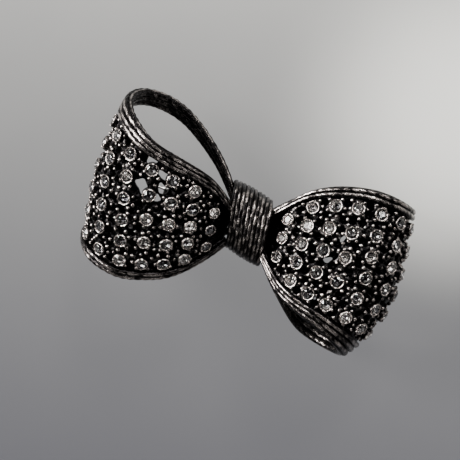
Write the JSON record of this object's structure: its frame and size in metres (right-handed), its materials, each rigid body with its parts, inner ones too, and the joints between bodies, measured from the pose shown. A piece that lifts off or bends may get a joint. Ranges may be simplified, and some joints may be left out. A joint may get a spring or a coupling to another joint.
{
  "type": "brooch",
  "caption": "Bow brooch in blackened cast metal, with openwork ribbon loops set with round clear stones, a corded knot, and a hinged pin with a locking catch behind.",
  "frame": {"origin": "centre of the bounding box on the plane it lies on", "axes": "+Z out of the brooch's face, +X along the bow towards the viewer's right, +Y across the bow towards its top"},
  "size_m": [0.0494, 0.03, 0.018],
  "materials": {
    "blackened_metal": "cast white metal, blackened in the recesses and rubbed bright on the high points",
    "pin_steel": "drawn and polished wire and sheet, slightly dulled",
    "clear_stone": "round cut clear glass stone with a foiled back"
  },
  "bodies": {
    "brooch": {"left_panel": "blackened_metal", "right_panel": "blackened_metal", "left_upper_rim": "blackened_metal", "left_lower_rim": "blackened_metal", "right_upper_rim": "blackened_metal", "right_lower_rim": "blackened_metal", "knot_wrap": "blackened_metal", "waist_core": "blackened_metal", "pin_plate": "blackened_metal", "hinge_block": "blackened_metal", "hinge_rivet": "blackened_metal", "catch_body": "blackened_metal", "left_stone_01": "clear_stone", "left_stone_02": "clear_stone", "left_stone_03": "clear_stone", "left_stone_04": "clear_stone", "left_stone_05": "clear_stone", "left_stone_06": "clear_stone", "left_stone_07": "clear_stone", "left_stone_08": "clear_stone", "left_stone_09": "clear_stone", "left_stone_10": "clear_stone", "left_stone_11": "clear_stone", "left_stone_12": "clear_stone", "left_stone_13": "clear_stone", "left_stone_14": "clear_stone", "left_stone_15": "clear_stone", "left_stone_16": "clear_stone", "left_stone_17": "clear_stone", "left_stone_18": "clear_stone", "left_stone_19": "clear_stone", "left_stone_20": "clear_stone", "left_stone_21": "clear_stone", "left_stone_22": "clear_stone", "left_stone_23": "clear_stone", "right_stone_01": "clear_stone", "right_stone_02": "clear_stone", "right_stone_03": "clear_stone", "right_stone_04": "clear_stone", "right_stone_05": "clear_stone", "right_stone_06": "clear_stone", "right_stone_07": "clear_stone", "right_stone_08": "clear_stone", "right_stone_09": "clear_stone", "right_stone_10": "clear_stone", "right_stone_11": "clear_stone", "right_stone_12": "clear_stone", "right_stone_13": "clear_stone", "right_stone_14": "clear_stone", "right_stone_15": "clear_stone", "right_stone_16": "clear_stone", "right_stone_17": "clear_stone", "right_stone_18": "clear_stone", "right_stone_19": "clear_stone", "right_stone_20": "clear_stone", "right_stone_21": "clear_stone", "right_stone_22": "clear_stone", "right_stone_23": "clear_stone"},
    "pin": {"pin_stem": "pin_steel"},
    "rotor": {"catch_rotor": "pin_steel"}
  },
  "joints": [
    {"name": "pin_hinge", "type": "hinge", "parent": "brooch", "child": "pin", "pos_m": [0.0125, 0, 0.0016], "axis": [0, -1, 0], "range_deg": [0, 110]},
    {"name": "catch_lock", "type": "hinge", "parent": "brooch", "child": "rotor", "pos_m": [-0.0123, 0, 0.0016], "axis": [1, 0, 0], "range_deg": [0, 100]}
  ]
}
